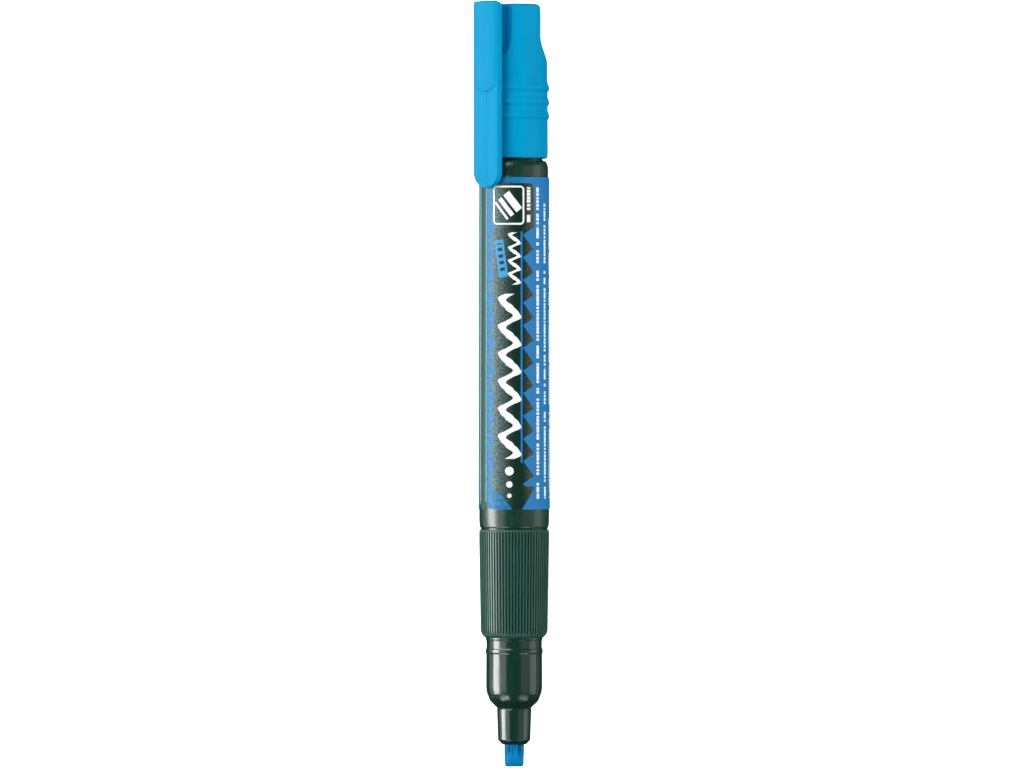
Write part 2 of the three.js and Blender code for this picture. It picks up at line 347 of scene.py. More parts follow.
def make_nib():
    end = ends_of("nib")[1]
    tail_start = end - NIB_TAIL[0]
    station = np.concatenate(
        [
            NIB_CORNER * (1 - np.cos(np.linspace(0, np.pi / 2, 9))),
            np.linspace(NIB_CORNER, NIB_WEDGE, 14)[1:],
            np.linspace(NIB_WEDGE, tail_start, 40)[1:],
            np.linspace(tail_start, end, 6)[1:],
        ]
    )[:, None]
    turn = np.linspace(0, 360, 192, endpoint=False)[None, :]
    from_corner = np.maximum(0, NIB_CORNER - station)
    corner = NIB_CORNER - np.sqrt(np.maximum(0, NIB_CORNER**2 - from_corner**2))
    radius = NIB_EDGE_R + (NIB_R - NIB_EDGE_R) * smoothstep(-1, 5, station) - 0.75 * corner
    radius = radius - NIB_TAIL[1] * smoothstep(tail_start, end, station)
    x = radius * np.sin(np.radians(turn))
    z = radius * np.cos(np.radians(turn))
    half = NIB_EDGE + (1.2 * NIB_R - NIB_EDGE) * station / NIB_WEDGE - 0.4 * corner
    cut = z / (1 + (np.abs(z) / half) ** NIB_SOFT) ** (1 / NIB_SOFT)
    points = np.stack(
        [AXIS_X - MM * x, np.broadcast_to(TIP_Y + MM * station, x.shape), AXIS_Z + MM * cut], axis=-1
    )
    first, last = points[:1].copy(), points[-1:].copy()
    first[..., 0], first[..., 2] = AXIS_X, AXIS_Z
    last[..., 0], last[..., 2] = AXIS_X, AXIS_Z
    piece = grid_mesh("nib_chisel", np.concatenate([first, points, last]), sharp=80)
    dressed(piece, NIB, "nib_body", "nib_fibre", "nib")


# ---------------------------------------------------------------- front section and grip
GRIP_START, GRIP_END = ends_of("grip_sleeve")
COLLAR_R = 6.5  # thin collar of the front section, between the grip and the barrel


def make_front_section():
    mouth, end = ends_of("front_section")
    profile = [
        (mouth, 2.1, 0.12),
        (mouth, 2.42, 0.15),
        (mouth + 0.8, 3.17, 0.25),
        (11.2, 3.37, 0.08),
        (11.4, 3.26, 0.06),
        (11.62, 3.46, 0.1),
        (12.75, 4.62, 0.25),
        (13.5, 5.0, 0.3),
        (14.12, 5.16, 0.04),
        (14.2, 5.29, 0.04),
        (15.4, 5.5, 0.6),
        (22.15, 5.47, 0.08),
        (22.4, 5.6, 0.12),
        (22.95, 5.6, 0.15),
        (23.3, 5.43, 0.15),
        (24.6, 5.43, 0.3),
        (25.2, 5.6, 0.2),
        (GRIP_END + 0.04, 5.6, 0.02),
        (GRIP_END + 0.04, COLLAR_R, 0.04),
        (GRIP_END + 0.26, COLLAR_R, 0.04),
        (GRIP_END + 0.26, 5.7, 0.02),
        (end, 5.7, 0.3),
        (end, 4.95, 0.2),
        (44, 4.95),
        (44, 4.2),
        (16.5, 4.2, 0.6),
        (13.5, 2.1, 0.6),
        (mouth, 2.1, 0.12),
    ]
    piece = lathe("front_section_moulding", profile, columns=192)
    dressed(piece, GREEN, "barrel_body", "green_plastic", "front_section")


RIBS = 68
RIB_DEPTH = 0.24
RIBS_START, RIBS_FULL = 25.5, 26.6
RIBS_FADE, RIBS_END = GRIP_END - 0.5, GRIP_END - 0.15


def ribbed_plastic():
    """The grip's plastic, paler on the ribs' crests, with painted shade in the grooves between them."""
    paint = Paint("green_grip_plastic", specular=0.35)
    m = paint.math
    x, y, z = paint.split(paint.place())
    turn = m("ARCTAN2", m("SUBTRACT", x, AXIS_X / MM), m("SUBTRACT", z, AXIS_Z / MM))
    wave = m("COSINE", m("MULTIPLY", turn, RIBS))
    station = m("SUBTRACT", y, TIP_Y / MM)
    ribbed = m(
        "MULTIPLY",
        paint.ramp(station, RIBS_START, RIBS_FULL),
        paint.ramp(station, RIBS_FADE, RIBS_END, 1, 0),
    )
    # The dark colour in the grooves between the ribs is painted shade.
    valley_shade = m("MULTIPLY", paint.ramp(wave, -0.7, 0.35, 1.0, 0.0), ribbed)
    flow = paint.noise(paint.place((1, 0.25, 1)), 0.35, 4.0)
    crest = paint.mix(paint.ramp(flow, 0.3, 0.7), linear(35, 88, 74), linear(39, 94, 80))
    paint.colour(paint.mix(valley_shade, crest, linear(12, 42, 33)))
    paint.rough(paint.ramp(valley_shade, 0, 1, 0.36, 0.6))
    paint.bump(paint.noise(paint.place(), 2.9, 2.0), 0.006, 0.35)
    return paint.material


def make_grip():
    outer = [
        (GRIP_START, 5.65, 0.05),
        (GRIP_START + 0.25, 5.95, 0.2),
        (26.0, 6.38, 0.3),
        (26.7, 6.56, 0.5),
        (33, 6.67, 1),
        (41, 6.8, 1),
        (45.4, 6.87, 0.6),
        (GRIP_END - 0.2, 6.84, 0.15),
        (GRIP_END, 6.68, 0.08),
    ]
    profile = [*outer, (GRIP_END, 5.65, 0.05), (GRIP_START, 5.65, 0.05)]

    def ribs(station, radius, turn):
        wave = 0.5 + 0.5 * np.cos(np.radians(turn * RIBS))
        groove = 1 - smoothstep(0.12, 0.62, wave)
        fade = smoothstep(RIBS_START, RIBS_FULL, station) * (1 - smoothstep(RIBS_FADE, RIBS_END, station))
        return radius - RIB_DEPTH * groove * fade * (radius > 6.2)

    piece = lathe("grip_ribbed", profile, columns=RIBS * 10, step=0.9, relief=ribs)
    dressed(piece, ribbed_plastic(), "barrel_body", "grip_plastic", "grip_sleeve")


# ---------------------------------------------------------------- barrel and tail plug
LABEL_START, LABEL_END = ends_of("label_wrap")
LABEL_R = (7.0, 6.88)
FILM = 0.12


def label_radius(station):
    share = (station - LABEL_START) / (LABEL_END - LABEL_START)
    return LABEL_R[0] + (LABEL_R[1] - LABEL_R[0]) * share


def make_barrel():
    start, end = ends_of("barrel")
    profile = [
        (start, 5.75),
        (start, 6.62, 0.1),
        (start + 0.3, 6.74, 0.15),
        (start + 1.1, 6.84, 0.4),
        (LABEL_START - 0.35, 6.86, 0.1),
        (LABEL_START - 0.2, label_radius(LABEL_START) - 0.15, 0.05),
        (LABEL_END + 0.05, label_radius(LABEL_END) - 0.15, 0.06),
        (LABEL_END + 0.25, 6.67, 0.08),
        (117.5, 6.67, 0.5),
        (118.3, 6.42, 0.3),
        (end, 6.08, 0.1),
        (end, 5.75),
        (start, 5.75),
    ]
    piece = lathe("barrel_tube", profile, columns=192)
    dressed(piece, GREEN_SATIN, "barrel_body", "green_plastic", "barrel")


def make_tail_plug():
    start, end = ends_of("tail_plug")
    profile = [
        (start, 4.5),
        (start, 5.7, 0.2),
        (118.9, 5.7, 0.08),
        (118.9, 5.5, 0.08),
        (121.0, 5.5, 0.15),
        (121.5, 5.59, 0.3),
        (122.0, 5.5, 0.15),
        (end - 1.0, 5.5, 0.4),
        (end, 4.9, 0.5),
        (end, 0),
        (end - 1.2, 0),
        (end - 1.2, 4.5, 0.4),
        (start, 4.5),
    ]
    piece = lathe("tail_plug_moulding", profile)
    dressed(piece, GREEN_SATIN, "barrel_body", "green_plastic", "tail_plug")


# ---------------------------------------------------------------- printed film
SLIT = (53.0, 70.0)  # turns of the film's two edges
FILM_TURNS = (SLIT[0], SLIT[1] - 360)  # the film runs from one to the other the long way round
LABEL_CORNER = 2.0
MARGIN_GAP = 1.2  # degrees between the margin and each printed edge
PRINT_R = 6.94  # the print's mm are measured round this radius


def film_shell(name, first_turn, last_turn, corner, thickness):
    """Film on the barrel between two turns, with rounded corners and its print coordinates."""
    bend = corner * (1 - np.cos(np.linspace(0, np.pi / 2, 12)))
    middle = np.linspace(LABEL_START + corner, LABEL_END - corner, 30)[1:-1]
    station = np.concatenate([LABEL_START + bend, middle, (LABEL_END - bend)[::-1]])[:, None]
    from_end = np.minimum(station - LABEL_START, LABEL_END - station)
    inset = corner - np.sqrt(np.maximum(0, corner**2 - np.maximum(0, corner - from_end) ** 2))
    inset = np.degrees(inset / PRINT_R)
    across = np.linspace(0, 1, 241)[None, :]
    first, last = first_turn - inset, last_turn + inset
    turn = first + (last - first) * across
    seat_r = label_radius(station) - FILM
    outer = placed(station, seat_r + thickness, turn)
    inner = placed(station, seat_r, turn)
    skirt_in = np.concatenate([inner[:, :1], outer, inner[:, -1:]], axis=1)
    bottom = np.concatenate([inner[:1, :1], inner[:1], inner[:1, -1:]], axis=1)
    top = np.concatenate([inner[-1:, :1], inner[-1:], inner[-1:, -1:]], axis=1)
    shell = np.concatenate([bottom, skirt_in, top], axis=0)
    arc = -np.radians(turn) * PRINT_R
    flat = np.stack(np.broadcast_arrays(arc, station), axis=-1)
    flat = np.concatenate([flat[:, :1], flat, flat[:, -1:]], axis=1)
    flat = np.concatenate([flat[:1], flat, flat[-1:]], axis=0)
    return grid_mesh(name, shell[:, ::-1], around=False, uv=flat[:, ::-1])


def make_label():
    film = film_shell("label_film", *FILM_TURNS, LABEL_CORNER, FILM)
    dressed(film, printed_film(), "barrel_body", "printed_film", "label_wrap")
    # The film's unprinted margin lies in the slit, where its two printed edges don't quite meet.
    margin = film_shell("label_margin", SLIT[1] - MARGIN_GAP, SLIT[0] + MARGIN_GAP, 0.0, FILM / 2)
    dressed(margin, LIT_FILM_MARGIN, "barrel_body", "printed_film")


# ---------------------------------------------------------------- what is printed on the film
# The print's mm run round the barrel (arc, from straight up towards +X) and along it (the station).
PRINT_BLUR = 0.06
PANEL_GREEN = (13, 46, 35)
PANEL_LEFT, PANEL_RIGHT = -4.6, 1.5
PANEL_CENTRE, PANEL_HALF, PANEL_CORNER = (-0.2, 82.0), (4.4, 32.2), 1.2
PANEL_TAPER = (54.6, 4.0)  # where the panel starts to narrow towards the grip, and how fast
PANEL_HEAD = 105.4  # the saw teeth end here, and the panel is full width above
PANEL_FULL = 4.15
LOBE_PITCH, LOBE_REACH, LOBE_END_REACH = 4.7, 1.15, 0.3
TOOTH_START, TOOTH_PITCH, TOOTH_REACH, TOOTH_PEAK = 51.1, 4.42, 2.3, 0.34
RIM_WIDTHS = (0.16, 0.3)  # pale rims at the film's first and last edge
DIVIDER = ((1.28, 59.6), (1.62, 104.8))
WAVES = (  # start, end, centre, height, pitch and stroke of each wave
    (60.4, 92.6, -0.95, 1.38, 5.36, 0.66),
    (94.4, 104.6, 0.05, 0.78, 2.55, 0.32),
)
DOTS_ARC = -0.95
DOTS = ((53.2, 0.42), (55.4, 0.62), (58.0, 0.85))  # station and radius
TAG_CENTRE, TAG_SLANT, TAG_HALF = (-2.65, 99.5), 8.0, (0.95, 3.65)
TAG_BAR_PITCH = 1.3
SAMPLE_CENTRE, SAMPLE_HALF, SAMPLE_SLANT = (-1.2, 109.9), (3.2, 3.8), 38.0
SAMPLE_STROKES = ((-1.75, 0.22), (-0.55, 0.42), (1.15, 0.72))  # offset and half width
HEAD_BARS = (2.55, 3.3, 106.6, 113.4, 3.0)  # arc from and to, station from and to, seed
BAR_ROWS = (  # arc from and to
    (4.7, 5.35),
    (6.85, 7.5),
    (9.2, 9.8),
    (11.1, 11.7),
    (13.0, 13.6),
    (14.9, 15.5),
    (-14.4, -13.8),
)
BAR_ENDS, BAR_STAGGER = (52.6, 113.4), 3.0  # stations of the rows' ends, and how far some end short
BARS_PER_MM = 1.45


class Print(Paint):
    """The film's print. Its shapes are masks from 0 to 1."""

    def __init__(self):
        super().__init__("printed_film", specular=0.12)
        uv = self.tree.nodes.new("ShaderNodeUVMap")
        uv.uv_map = "print"
        self.where = uv.outputs[0]
        self.arc, self.along = self.split(self.where)[:2]

    def add(self, a, b):
        return self.math("ADD", a, b)

    def less(self, a, b):
        return self.math("SUBTRACT", a, b)

    def times(self, a, b):
        return self.math("MULTIPLY", a, b)

    def either(self, a, b):
        return self.math("MAXIMUM", a, b)

    def above(self, x, limit, blur=PRINT_BLUR):
        return self.ramp(self.less(x, limit), -blur, blur)

    def below(self, x, limit):
        return self.ramp(self.less(limit, x), -PRINT_BLUR, PRINT_BLUR)

    def inside(self, x, low, high):
        return self.times(self.above(x, low), self.below(x, high))

    def box(self, low, high):
        across = self.inside(self.arc, low[0], high[0])
        return self.times(across, self.inside(self.along, low[1], high[1]))

    def filled(self, distance):
        return self.ramp(distance, -PRINT_BLUR, PRINT_BLUR, 1.0, 0.0)

    def saw(self, x, pitch):
        """Rises from 0 to 1 along each pitch."""
        return self.math("FRACT", self.math("DIVIDE", x, pitch))

    def round_box(self, centre, half, corner, at=None):
        """Distance outside a rounded rectangle, negative within it."""
        x, y = at or (self.arc, self.along)
        dx = self.less(self.math("ABSOLUTE", self.less(x, centre[0])), half[0] - corner)
        dy = self.less(self.math("ABSOLUTE", self.less(y, centre[1])), half[1] - corner)
        px, py = self.either(dx, 0.0), self.either(dy, 0.0)
        outside = self.math("SQRT", self.add(self.times(px, px), self.times(py, py)))
        within = self.math("MINIMUM", self.either(dx, dy), 0.0)
        return self.less(self.add(outside, within), corner)

    def turned(self, centre, degrees):
        """Print coordinates turned about a point."""
        c, s = math.cos(math.radians(degrees)), math.sin(math.radians(degrees))
        x, y = self.less(self.arc, centre[0]), self.less(self.along, centre[1])
        return self.add(self.times(x, c), self.times(y, s)), self.less(self.times(y, c), self.times(x, s))


def panel_mask(p):
    """The panel has a scalloped left edge, saw teeth on the right, and tapers towards the grip."""
    drift = p.times(p.noise(p.where, 0.13, 1.0), 5.0)
    lobe = p.math("SINE", p.times(p.saw(p.add(p.along, drift), LOBE_PITCH), math.pi))
    wobble = p.noise(p.where, 0.9, 3.0)
    tear = p.noise(p.where, 3.2, 3.0, 0.6)
    taper = p.either(p.math("DIVIDE", p.less(PANEL_TAPER[0], p.along), PANEL_TAPER[1]), 0.0)
    bulge = p.times(lobe, p.ramp(taper, 0.0, 0.5, LOBE_REACH, LOBE_END_REACH))
    ragged = p.add(wobble, p.times(tear, 0.7))
    left = p.add(p.less(p.add(PANEL_LEFT, ragged), bulge), p.times(taper, 3.7))

    tooth = p.saw(p.less(p.along, TOOTH_START), TOOTH_PITCH)
    rise = p.math("DIVIDE", tooth, TOOTH_PEAK)
    fall = p.math("DIVIDE", p.less(1.0, tooth), 1 - TOOTH_PEAK)
    tip = p.times(p.math("MINIMUM", rise, fall), TOOTH_REACH)
    right = p.add(p.add(PANEL_RIGHT, p.times(tear, 0.5)), tip)
    right = p.add(right, p.times(p.above(p.along, PANEL_HEAD, 0.1), 6.0))
    right = p.math("MINIMUM", right, PANEL_FULL)
    right = p.either(right, p.times(p.below(p.along, 55.0), PANEL_FULL))
    right = p.less(right, p.times(taper, 2.6))

    between = p.times(p.above(p.arc, left), p.below(p.arc, right))
    return p.times(between, p.filled(p.round_box(PANEL_CENTRE, PANEL_HALF, PANEL_CORNER)))


def panel_colour(p, dust):
    """Dark green dusted with chalk, more of it towards both sides."""
    cloud = p.noise(p.where, 0.55, 3.0)
    chalk = p.add(p.ramp(p.arc, -5.0, 0.4, 0.85, 0.0), p.ramp(p.arc, 1.4, 4.2, 0.0, 0.7))
    chalk = p.times(chalk, p.add(0.2, p.times(p.ramp(dust, 0.38, 0.62), 1.1)))
    chalk = p.times(chalk, p.add(0.55, p.times(cloud, 0.8)))
    left = p.mix(chalk, linear(*PANEL_GREEN), linear(112, 140, 138))
    right = p.mix(chalk, linear(*PANEL_GREEN), linear(112, 112, 92))
    return p.mix(p.above(p.arc, 1.4), left, right)


def field_colour(p):
    """Blue, smudged with chalk on the left of the panel and even on its right."""
    smudge = p.ramp(p.noise(p.where, 1.5, 5.0, 0.75), 0.36, 0.64)
    chalky = p.mix(smudge, linear(0, 94, 152), linear(28, 134, 180))
    even = p.mix(p.noise(p.where, 7.0, 3.0, 0.7), linear(20, 114, 180), linear(40, 140, 202))
    return p.mix(p.ramp(p.arc, -1.0, 3.0), chalky, even)


def film_rims(p):
    """The film is cut a little outside its print, which leaves a pale rim along both edges."""
    first, last = (-math.radians(turn) * PRINT_R for turn in FILM_TURNS)
    first_rim = p.inside(p.arc, first - 1, first + RIM_WIDTHS[0])
    return p.either(first_rim, p.inside(p.arc, last - RIM_WIDTHS[1], last + 1))


def chalk_wave(p, start, end, centre, height, pitch, thick):
    phase = p.times(p.less(p.along, start), 2 * math.pi / pitch)
    sway = p.add(p.math("SINE", phase), p.times(p.math("SINE", p.times(phase, 2.0)), 0.22))
    off = p.math("ABSOLUTE", p.less(p.arc, p.add(centre, p.times(sway, height))))
    slope = p.times(p.math("COSINE", phase), height * 2 * math.pi / pitch)
    near = p.math("DIVIDE", off, p.math("SQRT", p.add(1.0, p.times(slope, slope))))
    swell = p.times(p.math("ABSOLUTE", p.math("SINE", phase)), 0.4)
    body = p.times(thick, p.add(0.72, swell))
    return p.times(p.filled(p.less(near, body)), p.inside(p.along, start, end))


def tag(p, colour):
    """A plain tag set at a slant, with a row of bars on it."""
    x, y = p.turned(TAG_CENTRE, TAG_SLANT)
    plate = p.filled(p.round_box((0.0, 0.0), TAG_HALF, 0.12, (x, y)))
    colour = p.mix(plate, colour, linear(62, 158, 214))
    row = p.times(p.inside(x, -0.5, 0.5), p.inside(y, -2.9, 3.0))
    bar = p.inside(p.saw(y, TAG_BAR_PITCH), 0.12, 0.62)
    return p.mix(p.times(p.times(row, bar), plate), colour, linear(16, 62, 66))


def line_sample(p):
    """A framed sample of line widths: three slanted strokes, each wider than the last."""
    frame_line = p.add(p.round_box(SAMPLE_CENTRE, SAMPLE_HALF, 0.8), 0.16)
    strokes = p.filled(p.less(p.math("ABSOLUTE", frame_line), 0.17))
    slanted = p.turned(SAMPLE_CENTRE, SAMPLE_SLANT)
    for offset, half in SAMPLE_STROKES:
        strokes = p.either(strokes, p.filled(p.round_box((offset, 0.0), (half, 2.1), 0.08, slanted)))
    return strokes


def bars(p, low, high, start, end, seed):
    """A row of short bars of uneven length, with gaps."""
    cells = p.times(p.along, BARS_PER_MM)
    pick = p.tree.nodes.new("ShaderNodeTexWhiteNoise")
    pick.noise_dimensions = "1D"
    p.put(pick.inputs["W"], p.add(p.math("FLOOR", cells), seed))
    chance = pick.outputs["Value"]
    length = p.add(0.55, p.times(chance, 0.5))
    bar = p.times(p.above(p.less(length, p.math("FRACT", cells)), 0.0), p.above(chance, 0.14, 0.01))
    return p.times(p.times(p.inside(p.arc, low, high), p.inside(p.along, start, end)), bar)


def white_strokes(p):
    """Waves, dots, the line sample and rows of bars stand in the places of the label's words."""
    strokes = line_sample(p)
    for values in WAVES:
        strokes = p.either(strokes, chalk_wave(p, *values))
    for station, size in DOTS:
        strokes = p.either(strokes, p.filled(p.round_box((DOTS_ARC, station), (size, size), size - 0.01)))
    strokes = p.either(strokes, bars(p, *HEAD_BARS))
    for i, (low, high) in enumerate(BAR_ROWS):
        end = BAR_ENDS[1] - BAR_STAGGER * (i % 3)
        strokes = p.either(strokes, bars(p, low, high, BAR_ENDS[0], end, 40.0 * (i + 1)))
    return p.times(strokes, p.ramp(p.noise(p.where, 6.0, 5.0, 0.8), 0.26, 0.4, 0.55, 1.0))


def printed_film():
    p = Print()
    dust = p.noise(p.where, 2.4, 5.0, 0.8)
    strokes = white_strokes(p)
    colour = p.mix(panel_mask(p), field_colour(p), panel_colour(p, dust))
    colour = p.mix(film_rims(p), colour, linear(186, 206, 204))
    colour = p.mix(p.box(*DIVIDER), colour, linear(34, 132, 204))
    colour = tag(p, colour)
    p.colour(p.mix(strokes, colour, linear(252, 253, 253)))
    p.rough(p.ramp(dust, 0.3, 0.7, 0.34, 0.46))
    p.bump(p.add(strokes, p.times(dust, 0.5)), 0.006, 0.4)
    return p.material


# ---------------------------------------------------------------- cap
CAP_MOUTH, BOSS_TOP = ends_of("cap_shell")
CAP_TOP = BOSS_TOP - 0.67
CAP_R = 6.49
CLIP_TURN = 40.0
FLAT_TURN = 130.0  # from the clip to each thumb flat
FLAT_R = 5.16
FLAT_START, FLAT_FULL = 136.6, 143.0
HOLLOW_START, HOLLOW_BEND = 139.4, 5.2  # where the hollow starts, and the length of its curved edge
CAP_EDGE = 1.0  # rounding of the flats at the cap's top
CAP_CORE_R = 4.4  # no flat cuts deeper than this
CAP_SOFT = 0.05  # softness of the flats' edges
CAP_BORE_R, CAP_SKIRT_R = 4.35, 5.75
CAP_STEP, CAP_ROOF = 133.7, 148.4  # inside, where the bore narrows and where it ends
RIDGES = (127.4, 130.1, 132.9)


def cap_relief(station, radius, turn):
    """The cap's round form with its two thumb flats and the hollow on each side of the boss."""
    sink = smoothstep(FLAT_START, FLAT_FULL, station)
    depth = CAP_R + 0.25 + (FLAT_R - CAP_R - 0.25) * sink
    over = np.maximum(0, station - CAP_TOP + CAP_EDGE)
    depth = depth - CAP_EDGE + np.sqrt(np.maximum(0, CAP_EDGE**2 - over**2))
    made = np.broadcast_to(radius, (radius.shape[0], turn.shape[1])).copy()
    for side in (-1, 1):
        angle = (turn - CLIP_TURN - side * FLAT_TURN + 180) % 360 - 180
        chord = depth / np.maximum(np.cos(np.radians(angle)), 0.2)
        low = np.minimum(made, chord)
        blended = low - CAP_SOFT * np.log1p(np.exp(-np.abs(made - chord) / CAP_SOFT))
        flattened = np.maximum(blended, CAP_CORE_R)
        made = np.where((station > FLAT_START) & (made > CAP_CORE_R), flattened, made)
    arc = np.abs(np.radians((turn - CLIP_TURN + 180) % 360 - 180)) * CAP_R
    bend = np.clip((station - HOLLOW_START) / HOLLOW_BEND, 0, 1)
    edge = 2.3 + 1.85 * np.sqrt(np.maximum(0, 1 - (1 - bend) ** 2))
    hollow = smoothstep(0, 0.5, edge - arc) * (0.35 + 0.4 * (1 - smoothstep(2.5, 3.5, arc)))
    hollow = hollow * (station > HOLLOW_START) * smoothstep(3.6, 5.6, made)
    return made - hollow


def make_cap():
    ridges = []
    for crest in RIDGES:
        ridges += [
            (crest - 0.62, 6.57, 0.1),
            (crest - 0.3, 6.83, 0.1),
            (crest + 0.05, 6.88, 0.2),
            (crest + 0.8, 6.72, 0.15),
            (crest + 0.98, 6.57, 0.1),
        ]
    profile = [
        (CAP_MOUTH, 5.95, 0.1),
        (CAP_MOUTH, 6.42, 0.15),
        (CAP_MOUTH + 0.35, 6.57, 0.12),
        (CAP_MOUTH + 0.72, 6.59, 0.05),
        (CAP_MOUTH + 0.82, 6.5, 0.05),
        (CAP_MOUTH + 0.97, 6.59, 0.05),
        *ridges,
        (134.7, CAP_R, 0.2),
        (CAP_TOP, CAP_R, 0.75),
        (CAP_TOP, 0),
        (CAP_ROOF, 0),
        (CAP_ROOF, CAP_BORE_R),
        (CAP_STEP, CAP_BORE_R),
        (CAP_STEP, CAP_SKIRT_R, 0.3),
        (CAP_MOUTH + 0.3, CAP_SKIRT_R, 0.1),
        (CAP_MOUTH, 5.95, 0.1),
    ]
    piece = lathe("cap_moulding", profile, columns=360, bevel=0.06, step=0.45, relief=cap_relief)
    dressed(piece, BLUE, "cap_body", "blue_plastic", "cap_shell")


CLIP_TIP, CLIP_ROOT = ends_of("clip")
CLIP_R = (7.28, 8.76)
CLIP_HALF = 3.15
CLIP_BEVEL = 0.28
BOSS_HALF = 3.0
BOSS_START = 131.9
NECK_HALF = 1.7
NECK_R = 5.9
BOSS_CROWN = 0.55
CLIP_GABLE = 0.05  # the outer face rises this much to its middle
CLIP_SEAM = (0.33, 0.1)  # half width and height of the raised band along the middle
BOSS_TOP_SLOPE = 0.3  # the boss's top falls towards the cap
BOSS_TOP_ROUND = 0.55


def clip_section(station, half, root, outer, lift):
    """One closed loop of (sideways, radius): inner face with its neck, side, crowned outer face, side."""
    bevel = min(CLIP_BEVEL, 0.8 * half)
    quarter = np.linspace(0, np.pi / 2, 6)
    across = np.linspace(-1, 1, 41) * (half - bevel)
    inner = CLIP_R[0]
    neck = 1 - smoothstep(NECK_HALF, NECK_HALF + 0.35, np.abs(across))
    loop = [(w, inner + (NECK_R - inner) * root * n) for w, n in zip(across, neck)]
    loop += [(half - bevel + bevel * np.sin(q), inner + bevel * (1 - np.cos(q))) for q in quarter[1:]]
    loop += [(half - bevel + bevel * np.cos(q), outer - bevel + bevel * np.sin(q)) for q in quarter]
    rest = max(0.0, (BOSS_START + BOSS_HALF - station) / BOSS_HALF)
    for w in across[::-1][1:-1]:
        inside = max(0.0, 1 - (w / BOSS_HALF) ** 2 - rest**2)
        gable = CLIP_GABLE * (1 - abs(w) / half)
        seam = CLIP_SEAM[1] * (abs(w) < CLIP_SEAM[0]) * (station < BOSS_START)
        loop.append((w, outer + gable + seam + lift * BOSS_CROWN * math.sqrt(inside)))
    loop += [(-half + bevel - bevel * np.sin(q), outer - bevel + bevel * np.cos(q)) for q in quarter]
    loop += [(-half + bevel - bevel * np.cos(q), inner + bevel - bevel * np.sin(q)) for q in quarter[:-1]]
    return np.array(loop)


def make_clip():
    """The clip and its boss are one moulding, so one mesh bends from the cap to the clip."""
    round_end = CLIP_HALF * (1 - np.cos(np.linspace(0.04, np.pi / 2, 26)))
    boss_end = BOSS_HALF * (1 - np.cos(np.linspace(0, np.pi / 2, 30)))
    stations = np.concatenate(
        [
            CLIP_TIP + round_end,
            np.linspace(CLIP_TIP + CLIP_HALF, BOSS_START, 26)[1:],
            BOSS_START + boss_end[1:],
            np.linspace(BOSS_START + BOSS_HALF, BOSS_TOP - BOSS_TOP_ROUND, 44)[1:],
            BOSS_TOP - BOSS_TOP_ROUND * (1 - np.sin(np.linspace(0, np.pi / 2, 8)[1:])),
        ]
    )
    rows = []
    for s in stations:
        tip = max(0.0, CLIP_TIP + CLIP_HALF - s)
        half = math.sqrt(max(0.0, CLIP_HALF**2 - tip**2))
        over = max(0.0, s - BOSS_TOP + BOSS_TOP_ROUND)
        tuck = BOSS_TOP_ROUND - math.sqrt(max(0.0, BOSS_TOP_ROUND**2 - over**2))
        root = float(smoothstep(CLIP_ROOT - 0.2, CLIP_ROOT + 0.9, s))
        loop = clip_section(s, half - tuck, root, CLIP_R[1] - tuck, (1 - tuck / BOSS_TOP_ROUND) ** 0.5)
        side, radius = loop[:, 0], loop[:, 1]
        turn = math.radians(CLIP_TURN)
        fall = BOSS_TOP_SLOPE * (CLIP_R[1] + BOSS_CROWN - radius)
        slope = smoothstep(BOSS_TOP - 3, BOSS_TOP, s) * fall
        rows.append(
            np.stack(
                [
                    AXIS_X - MM * (radius * math.sin(turn) + side * math.cos(turn)),
                    TIP_Y + MM * (s - slope),
                    AXIS_Z + MM * (radius * math.cos(turn) - side * math.sin(turn)),
                ],
                axis=-1,
            )
        )
    piece = grid_mesh("clip_moulding", capped(np.array(rows)), sharp=45)
    dressed(piece, BLUE, None, "blue_plastic", "clip")
    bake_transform(piece)


def make_inner_cap():
    start, end = ends_of("inner_cap")
    profile = [
        (start, 3.75, 0.1),
        (start, 4.3, 0.2),
        (end, 4.3, 0.3),
        (end, 0),
        (end - 0.7, 0),
        (end - 0.7, 3.5, 0.4),
        (start + 0.5, 3.5, 0.2),
        (start, 3.75, 0.1),
    ]
    dressed(lathe("inner_cap_cup", profile), NATURAL, "cap_body", "natural_plastic", "inner_cap")


# ---------------------------------------------------------------- valve, spring and ball
SEAT_R = 1.9
HOUSING_BORE_R = 3.3
HOUSING_SHOULDER = 44.05  # the housing's flange starts here
STEM_HEAD = (32.35, 34.2)  # stations of the head that closes on the washer


def make_valve_housing():
    seat, rear = ends_of("valve_housing")
    housing = [
        (seat, SEAT_R, 0.15),
        (seat, 3.9, 0.2),
        (seat + 0.4, 4.15, 0.2),
        (HOUSING_SHOULDER, 4.15),
        (HOUSING_SHOULDER, 4.9),
        (rear, 4.9, 0.2),
        (rear, HOUSING_BORE_R),
        (seat + 1.25, HOUSING_BORE_R, 0.2),
        (seat + 1.25, SEAT_R, 0.15),
        (seat, SEAT_R, 0.15),
    ]
    piece = lathe("valve_housing_cup", housing)
    dressed(piece, NATURAL, "barrel_body", "natural_plastic", "valve_housing")


def ring_of(name, node, inner_r, outer_r, bevel):
    """A plain ring as long as its CAD node."""
    low, high = ends_of(node)
    corners = [(low, inner_r), (low, outer_r), (high, outer_r), (high, inner_r), (low, inner_r)]
    return lathe(name, corners, bevel=bevel)


def make_valve_rings():
    washer = ring_of("valve_seal_washer", "valve_seal", SEAT_R, 3.2, 0.2)
    dressed(washer, RUBBER, "barrel_body", "seal_rubber", "valve_seal")
    disc = ring_of("spring_retainer_disc", "spring_retainer", 1.4, 3.25, 0.15)
    dressed(disc, NATURAL, "barrel_body", "natural_plastic", "spring_retainer")


